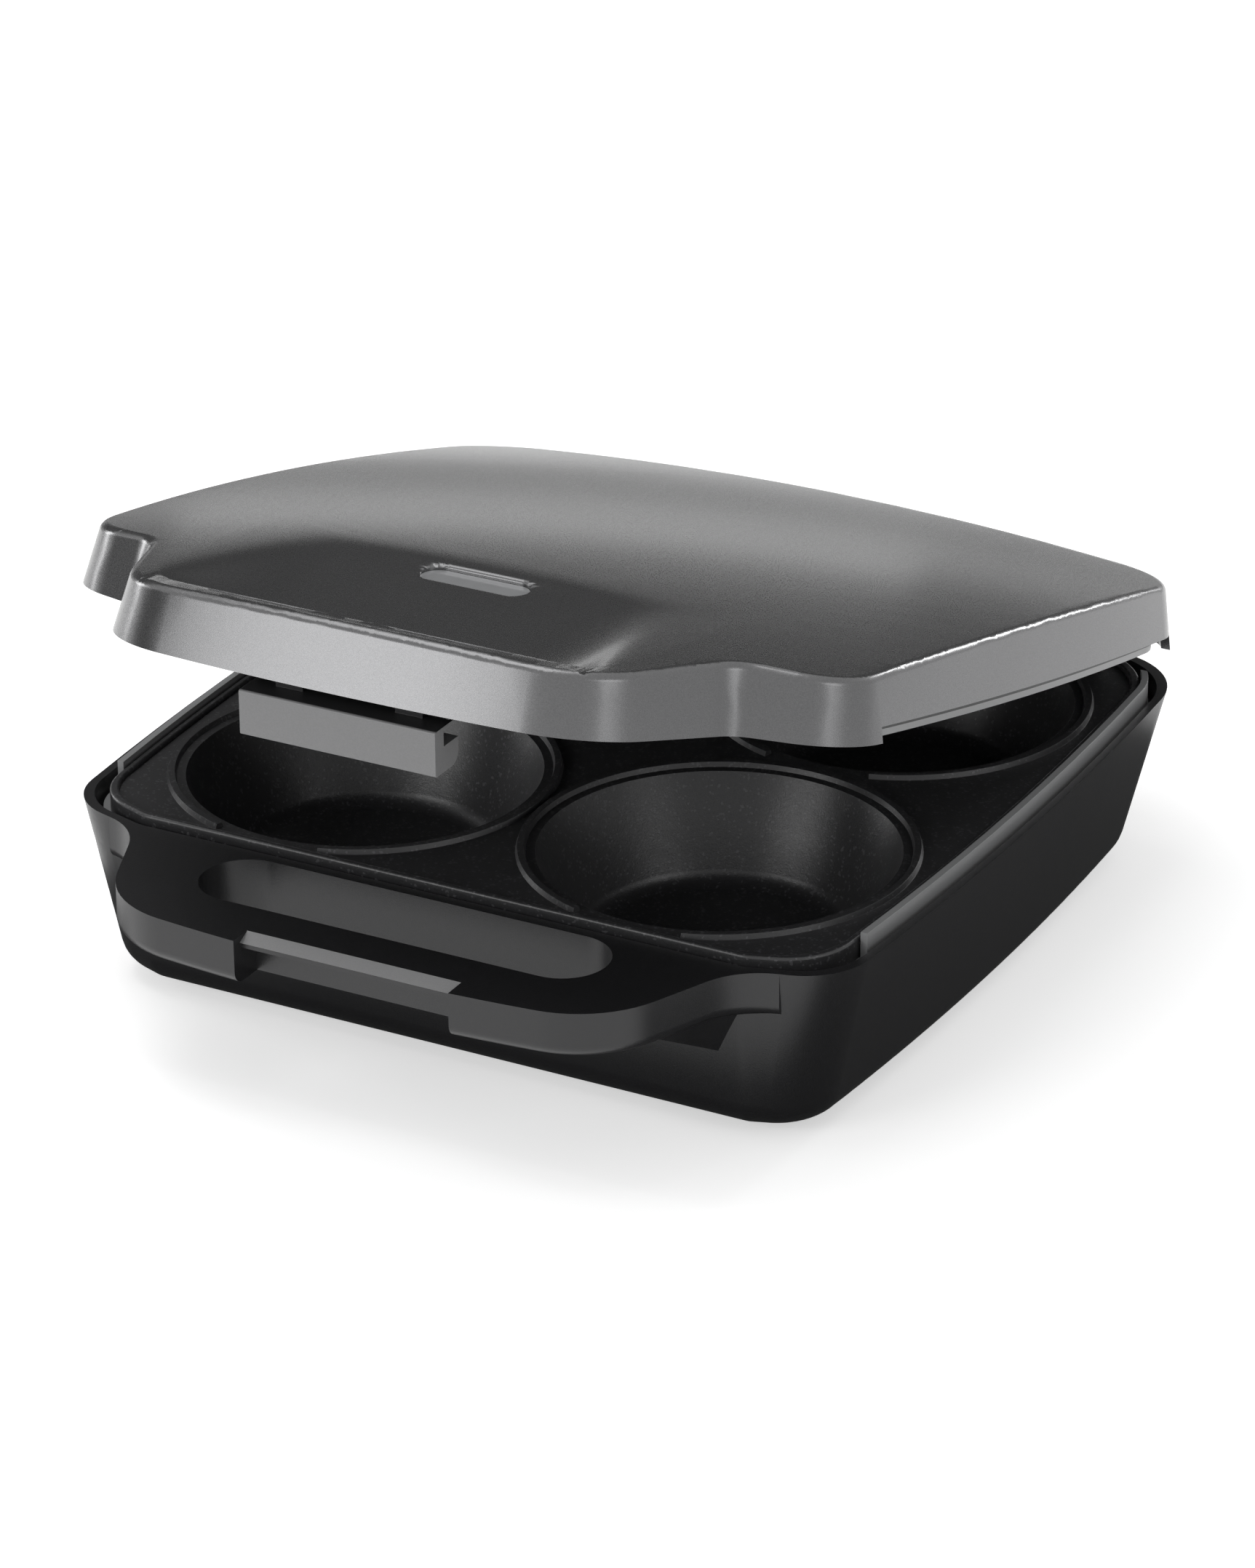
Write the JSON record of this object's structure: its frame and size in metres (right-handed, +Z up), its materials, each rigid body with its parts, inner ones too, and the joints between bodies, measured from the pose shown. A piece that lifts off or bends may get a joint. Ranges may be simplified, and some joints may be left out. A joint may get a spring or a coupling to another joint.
{
  "type": "electric pie maker",
  "caption": "Countertop electric pie maker with deep wells, a hinged domed lid, forward handles and a front latch.",
  "frame": {"origin": "on the table, under the middle of the outer box with the lid ajar as in the picture", "axes": "+X to the right seen from the handles, +Y to the hinge at the rear, +Z up"},
  "size_m": [0.2786, 0.335, 0.1657],
  "materials": {
    "housing_black": "satin black moulded heat-resistant plastic",
    "frame_grey": "smooth mid-grey moulded plastic",
    "frame_black": "smooth black moulded plastic",
    "plate_coating": "cast aluminium with a dark satin non-stick coating",
    "lid_pearl": "satin dark pearl-grey metallic lacquer on moulded plastic",
    "latch_grey": "satin mid-grey metallic lacquer on moulded plastic",
    "lens_smoke": "smoked translucent plastic",
    "lamp_glass": "amber glass bulb",
    "lamp_socket": "white moulded plastic",
    "foot_rubber": "matt black rubber",
    "gland_rubber": "matt black rubber",
    "block_ivory": "ivory moulded plastic",
    "shield_sheet": "bright pressed sheet",
    "thermal_parts": "plated steel",
    "steel": "zinc-plated steel"
  },
  "bodies": {
    "base": {"base_shell": "housing_black", "base_frame": "frame_grey", "lower_plate": "plate_coating", "lower_heater": "steel", "lower_shield": "shield_sheet", "lower_shield_screw": "steel", "thermostat": "thermal_parts", "thermal_fuse": "thermal_parts", "terminal_block": "block_ivory", "cord_gland": "gland_rubber", "foot_1": "foot_rubber", "foot_2": "foot_rubber", "foot_3": "foot_rubber", "foot_4": "foot_rubber", "base_screw_1": "steel", "base_screw_2": "steel", "base_screw_3": "steel", "base_screw_4": "steel", "hinge_pin_left": "steel", "hinge_pin_right": "steel"},
    "lid": {"lid_cover": "lid_pearl", "lid_frame": "frame_black", "upper_plate": "plate_coating", "upper_heater": "steel", "upper_shield": "shield_sheet", "upper_shield_screw": "steel", "indicator_lens": "lens_smoke", "lamp_holder": "lamp_socket", "lamp_left": "lamp_glass", "lamp_right": "lamp_glass", "latch_pin": "steel", "plate_screw_1": "steel", "plate_screw_2": "steel", "plate_screw_3": "steel", "plate_screw_4": "steel", "cover_screw_1": "steel", "cover_screw_2": "steel"},
    "latch": {"latch": "latch_grey"}
  },
  "joints": [
    {"name": "lid_hinge", "type": "hinge", "parent": "base", "child": "lid", "pos_m": [0, 0.16055, 0.0641], "axis": [-1, 0, 0], "range_deg": [-14.3, 80.7]},
    {"name": "latch_hinge", "type": "hinge", "parent": "lid", "child": "latch", "pos_m": [0, -0.1545, 0.14348], "axis": [-1, 0, 0], "range_deg": [0, 32]}
  ]
}
